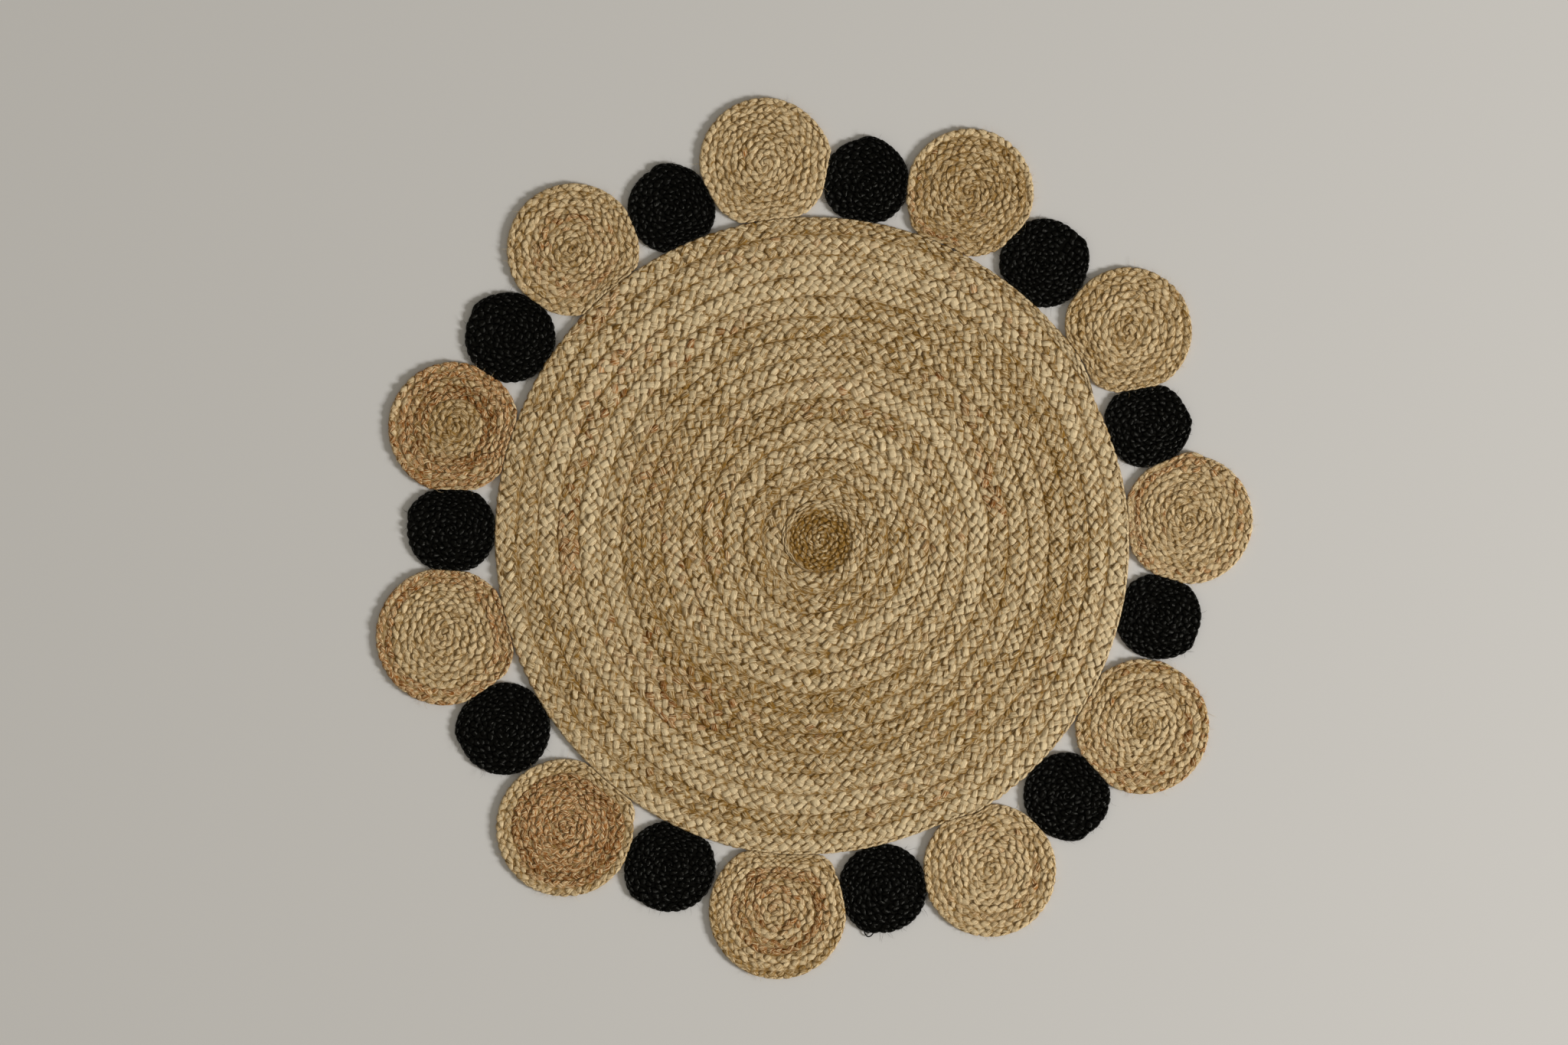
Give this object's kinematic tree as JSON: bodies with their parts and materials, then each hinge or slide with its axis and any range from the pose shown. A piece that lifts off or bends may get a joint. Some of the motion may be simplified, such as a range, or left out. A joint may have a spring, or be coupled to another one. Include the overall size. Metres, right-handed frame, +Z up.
{
  "type": "round jute rug",
  "caption": "Round braided jute rug: a large coiled round inside a ring of small natural and black coiled rounds.",
  "frame": {"origin": "middle of the large round's underside, on the floor", "axes": "+Z up out of the floor; +X and +Y lie in the rug, +Y towards the top of the picture"},
  "size_m": [1.1985, 1.2043, 0.009],
  "materials": {
    "centre_jute": "matte",
    "natural_jute": "matte",
    "black_jute": "matte"
  },
  "bodies": {
    "root": {"centre_round": "centre_jute", "natural_01": "natural_jute", "natural_02": "natural_jute", "natural_03": "natural_jute", "natural_04": "natural_jute", "natural_05": "natural_jute", "natural_06": "natural_jute", "natural_07": "natural_jute", "natural_08": "natural_jute", "natural_09": "natural_jute", "natural_10": "natural_jute", "natural_11": "natural_jute", "black_01": "black_jute", "black_02": "black_jute", "black_03": "black_jute", "black_04": "black_jute", "black_05": "black_jute", "black_06": "black_jute", "black_07": "black_jute", "black_08": "black_jute", "black_09": "black_jute", "black_10": "black_jute", "black_11": "black_jute"}
  },
  "joints": []
}
